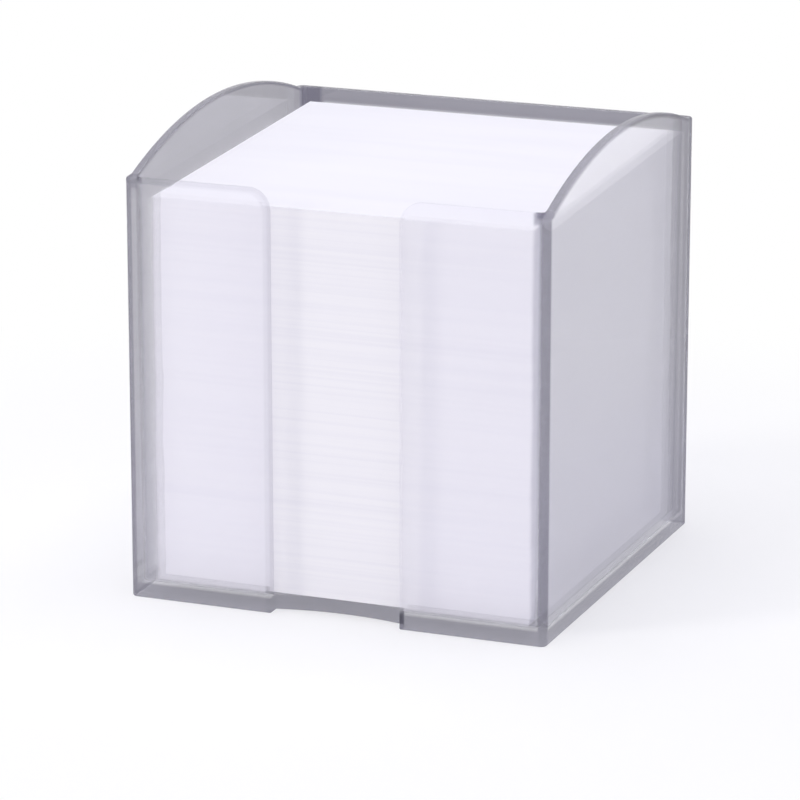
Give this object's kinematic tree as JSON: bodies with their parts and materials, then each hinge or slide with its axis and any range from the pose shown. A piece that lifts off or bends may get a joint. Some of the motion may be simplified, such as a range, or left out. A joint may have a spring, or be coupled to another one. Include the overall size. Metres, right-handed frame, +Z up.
{
  "type": "memo box",
  "caption": "Clear moulded open-top note box with arched side walls and a front finger slot, holding a stack of loose square paper sheets that lift out.",
  "frame": {"origin": "centre of the box's underside, on the table", "axes": "+Z up, front wall with the finger slot at -Y, +X to the right seen from the front"},
  "size_m": [0.1, 0.1, 0.107],
  "materials": {
    "clear_plastic": "polished",
    "note_paper": "matte"
  },
  "bodies": {
    "box": {"note_box": "clear_plastic"},
    "lower_notes": {"note_pack_01": "note_paper", "note_pack_02": "note_paper", "note_pack_03": "note_paper", "note_pack_04": "note_paper", "note_pack_05": "note_paper", "note_pack_06": "note_paper", "note_pack_07": "note_paper", "note_pack_08": "note_paper", "note_pack_09": "note_paper", "note_pack_10": "note_paper"},
    "upper_notes": {"note_pack_11": "note_paper", "note_pack_12": "note_paper", "note_pack_13": "note_paper", "note_pack_14": "note_paper", "note_pack_15": "note_paper", "note_pack_16": "note_paper", "note_pack_17": "note_paper", "note_pack_18": "note_paper", "note_pack_19": "note_paper", "note_pack_20": "note_paper"},
    "top_sheet": {"top_sheet": "note_paper"}
  },
  "joints": [
    {"name": "refill_lift", "type": "slide", "parent": "box", "child": "lower_notes", "axis": [0, 0, 1], "range_m": [0, 0.11]},
    {"name": "upper_notes_lift", "type": "slide", "parent": "lower_notes", "child": "upper_notes", "axis": [0, 0, 1], "range_m": [0, 0.065]},
    {"name": "top_sheet_lift", "type": "slide", "parent": "upper_notes", "child": "top_sheet", "axis": [0, 0, 1], "range_m": [0, 0.03]}
  ]
}
